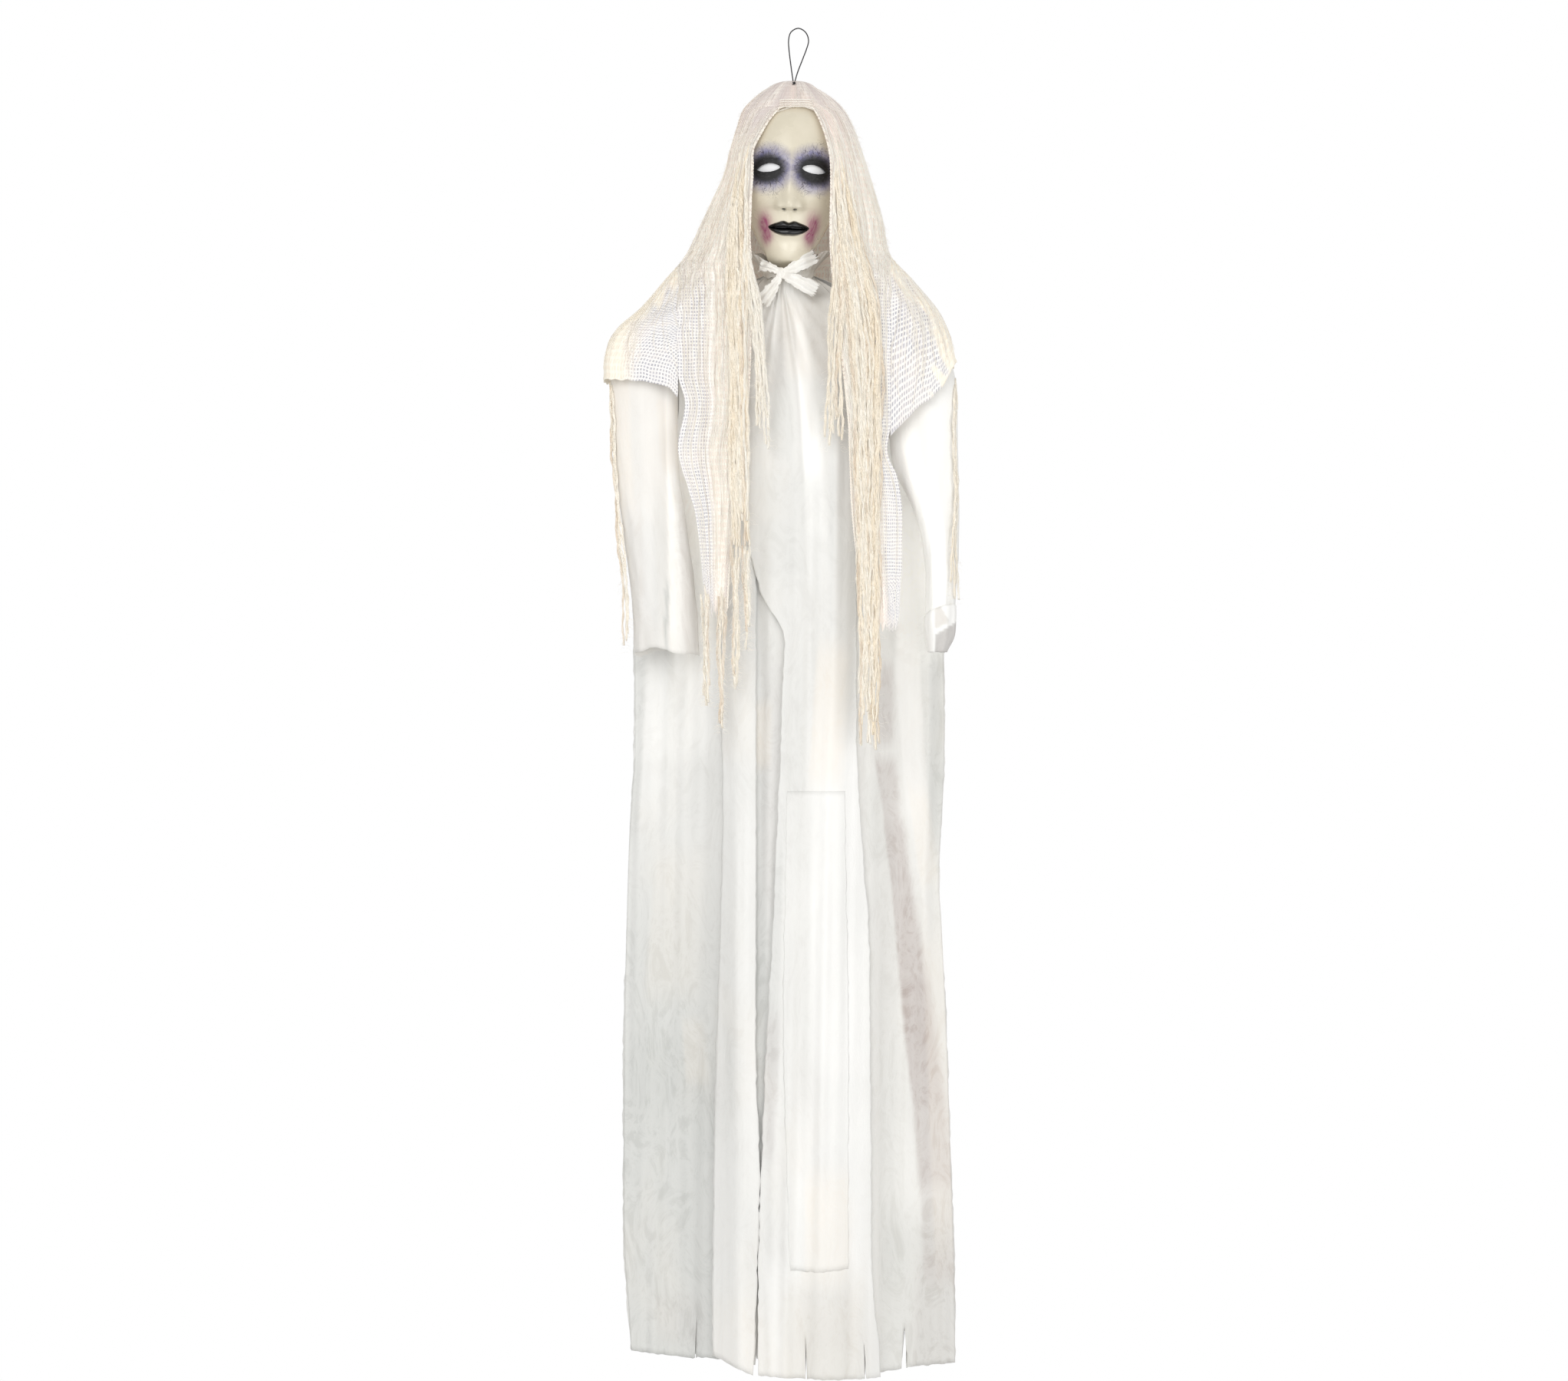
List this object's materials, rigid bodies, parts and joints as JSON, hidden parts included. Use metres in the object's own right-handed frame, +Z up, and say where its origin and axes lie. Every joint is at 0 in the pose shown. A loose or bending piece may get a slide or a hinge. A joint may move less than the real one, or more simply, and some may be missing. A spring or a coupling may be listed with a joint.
{
  "type": "hanging ghost decoration",
  "caption": "Hanging ghost figure: a masked head with gauze hair over a long layered cloth robe with two swinging sleeves, on a thin hanging loop.",
  "frame": {"origin": "top of the hanging loop, where a hook holds it", "axes": "+Z up along the hanging figure, -Y out of its face, +X to the figure's left hand"},
  "size_m": [0.4433, 0.1831, 1.7],
  "materials": {
    "black_cord": "matte twisted cord",
    "mask_plastic": "glossy pale cream with painted black, violet and magenta make-up",
    "eye_white": "plain white",
    "foam": "matte foam",
    "card": "plain card tube",
    "hanger_plastic": "plain moulded plastic",
    "steel": "plain steel pins",
    "robe_cloth": "thin cloudy white non-woven cloth",
    "gauze": "open cream gauze",
    "yarn": "frayed cream threads"
  },
  "bodies": {
    "hang_loop": {"hang_loop": "black_cord"},
    "loop_knot": {"loop_knot": "black_cord"},
    "hanging_line": {"hanging_line": "black_cord", "stop_washer": "hanger_plastic"},
    "ghost": {"face_mask": "mask_plastic", "hair_back": "gauze", "hair_hood": "gauze", "hanger_hub": "hanger_plastic", "head_block": "foam", "left_arm": "hanger_plastic", "left_arm_screw": "steel", "left_eye": "eye_white", "left_hair_front": "gauze", "left_hair_shoulder": "gauze", "left_inner_strand": "yarn", "left_shoulder_pad": "foam", "left_strand": "yarn", "left_tail_1": "yarn", "left_tail_2": "yarn", "left_tail_3": "yarn", "left_tail_4": "yarn", "left_tie_end": "robe_cloth", "left_tie_tab": "robe_cloth", "neck_pin": "steel", "neck_tie": "robe_cloth", "neck_tube": "card", "right_arm": "hanger_plastic", "right_arm_screw": "steel", "right_eye": "eye_white", "right_hair_front": "gauze", "right_hair_shoulder": "gauze", "right_inner_strand": "yarn", "right_shoulder_pad": "foam", "right_strand": "yarn", "right_tie_end": "robe_cloth", "right_tie_tab": "robe_cloth", "robe_back": "robe_cloth", "robe_centre_panel": "robe_cloth", "robe_collar": "robe_cloth", "robe_front_left": "robe_cloth", "robe_front_right": "robe_cloth", "robe_overlay": "robe_cloth", "robe_strip": "robe_cloth", "tie_knot": "robe_cloth"},
    "left_sleeve": {"left_sleeve": "robe_cloth", "left_sleeve_gauze": "gauze", "left_outer_tail": "yarn"},
    "right_sleeve": {"right_sleeve": "robe_cloth", "right_cuff": "robe_cloth", "right_sleeve_gauze": "gauze", "right_outer_tail": "yarn"}
  },
  "joints": [
    {"name": "loop_lean", "type": "hinge", "parent": "hang_loop", "child": "loop_knot", "pos_m": [-0.0054, 0, -0.0699], "axis": [0, 1, 0], "range_deg": [-45, 45]},
    {"name": "loop_swing", "type": "hinge", "parent": "loop_knot", "child": "hanging_line", "pos_m": [-0.0054, 0, -0.0699], "axis": [1, 0, 0], "range_deg": [-45, 45]},
    {"name": "ghost_turn", "type": "hinge", "parent": "hanging_line", "child": "ghost", "pos_m": [-0.0054, 0, -0.2224], "axis": [0, 0, 1], "range_deg": [-180, 180]},
    {"name": "left_sleeve_swing", "type": "hinge", "parent": "ghost", "child": "left_sleeve", "pos_m": [-0.201, 0, -0.412], "axis": [-1, 0, 0], "range_deg": [0, 40]},
    {"name": "right_sleeve_swing", "type": "hinge", "parent": "ghost", "child": "right_sleeve", "pos_m": [0.15, 0, -0.412], "axis": [-1, 0, 0], "range_deg": [0, 40]}
  ]
}
